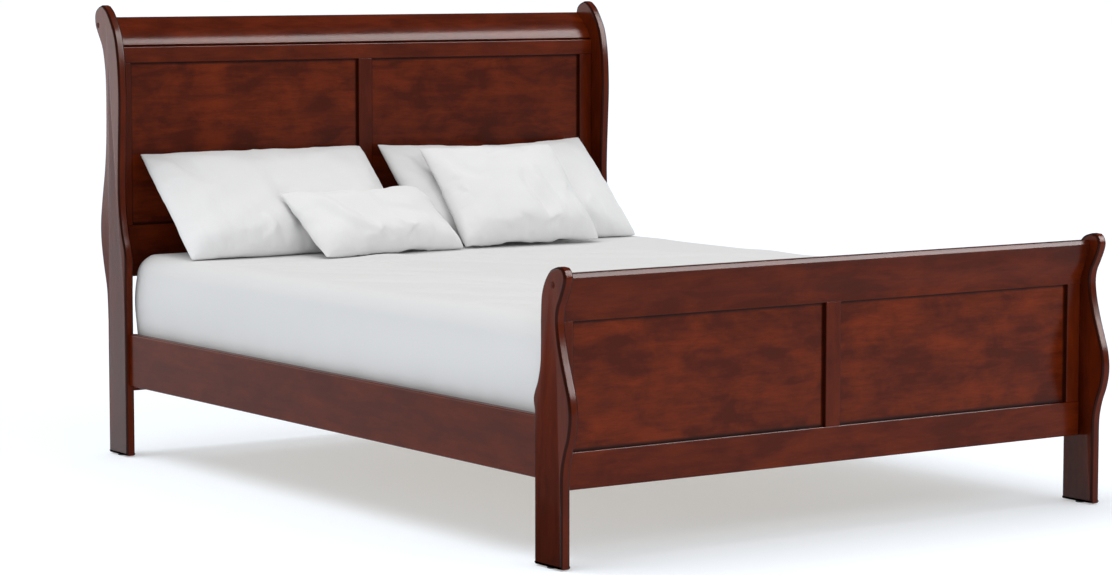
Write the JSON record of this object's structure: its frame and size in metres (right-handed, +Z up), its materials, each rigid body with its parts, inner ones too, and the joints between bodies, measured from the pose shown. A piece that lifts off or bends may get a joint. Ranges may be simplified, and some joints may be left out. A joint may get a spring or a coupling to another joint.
{
  "type": "sleigh bed",
  "caption": "Sleigh bed with S-shaped posts, a rolled panelled headboard and footboard, side rails, slats, a mattress and pillows.",
  "frame": {"origin": "on the floor, at the middle of the bed's outline in plan", "axes": "X across the bed, +Y towards the headboard, +Z up"},
  "size_m": [1.61, 2.244, 1.212],
  "materials": {
    "stained_wood": "semi-gloss reddish brown cherry stain",
    "plug_wood": "semi-gloss dark cherry stain",
    "pale_wood": "plain sawn pine",
    "zinc_steel": "zinc plated",
    "glide_plastic": "matte",
    "sheet_cotton": "white woven cotton",
    "pillow_cotton": "white woven cotton"
  },
  "bodies": {
    "bedstead": {"head_post_left": "stained_wood", "head_post_right": "stained_wood", "head_crest": "stained_wood", "head_top_rail": "stained_wood", "head_middle_rail": "stained_wood", "head_lower_rail": "stained_wood", "head_stile_left": "stained_wood", "head_stile_centre": "stained_wood", "head_stile_right": "stained_wood", "head_panel_left": "stained_wood", "head_panel_right": "stained_wood", "foot_post_left": "stained_wood", "foot_post_right": "stained_wood", "foot_crest_rail": "stained_wood", "foot_lower_rail": "stained_wood", "foot_stile_left": "stained_wood", "foot_stile_centre": "stained_wood", "foot_stile_right": "stained_wood", "foot_panel_left": "stained_wood", "foot_panel_right": "stained_wood", "side_rail_left": "stained_wood", "side_rail_right": "stained_wood", "cleat_left": "pale_wood", "cleat_right": "pale_wood", "cleat_screws": "zinc_steel", "hook_plates": "zinc_steel", "slot_plates": "zinc_steel", "plate_screws": "zinc_steel", "frame_dowels": "pale_wood", "crest_screws": "zinc_steel", "post_plugs": "plug_wood", "floor_glides": "glide_plastic", "centre_beam": "pale_wood", "beam_brackets": "zinc_steel", "bracket_screws": "zinc_steel", "centre_leg": "pale_wood", "leg_bolt": "zinc_steel", "leg_insert": "zinc_steel", "slat_1": "pale_wood", "slat_2": "pale_wood", "slat_3": "pale_wood", "slat_4": "pale_wood", "slat_5": "pale_wood", "slat_6": "pale_wood", "slat_7": "pale_wood", "slat_8": "pale_wood", "slat_9": "pale_wood", "slat_10": "pale_wood", "slat_11": "pale_wood", "slat_12": "pale_wood", "slat_screws": "zinc_steel"},
    "mattress": {"mattress": "sheet_cotton"},
    "pillow_left": {"pillow_left": "pillow_cotton"},
    "pillow_right": {"pillow_right": "pillow_cotton"},
    "square_cushion": {"square_cushion": "pillow_cotton"},
    "small_pillow": {"small_pillow": "pillow_cotton"},
    "leveller_foot": {"leveller_foot": "glide_plastic"},
    "leveller_screw": {"leveller_screw": "zinc_steel"}
  },
  "joints": [
    {"name": "mattress_lift", "type": "slide", "parent": "bedstead", "child": "mattress", "axis": [0, 0, 1], "range_m": [0, 0.4]},
    {"name": "pillow_left_lift", "type": "slide", "parent": "mattress", "child": "pillow_left", "axis": [0, 0, 1], "range_m": [0, 0.3]},
    {"name": "pillow_right_lift", "type": "slide", "parent": "pillow_left", "child": "pillow_right", "axis": [0, 0, 1], "range_m": [0, 0.3]},
    {"name": "square_cushion_lift", "type": "slide", "parent": "pillow_right", "child": "square_cushion", "axis": [0, 0, 1], "range_m": [0, 0.3]},
    {"name": "small_pillow_lift", "type": "slide", "parent": "pillow_right", "child": "small_pillow", "axis": [0, 0, 1], "range_m": [0, 0.3]},
    {"name": "leveller_travel", "type": "slide", "parent": "bedstead", "child": "leveller_foot", "axis": [0, 0, 1], "range_m": [0, 0.006]},
    {"name": "leveller_turn", "type": "hinge", "parent": "leveller_foot", "child": "leveller_screw", "pos_m": [0, 0, 0], "axis": [0, 0, 1], "range_deg": [0, 1440]}
  ],
  "couplings": [
    {"joint": "leveller_turn", "follows": "leveller_travel", "rad_per_m": 4188.8}
  ]
}
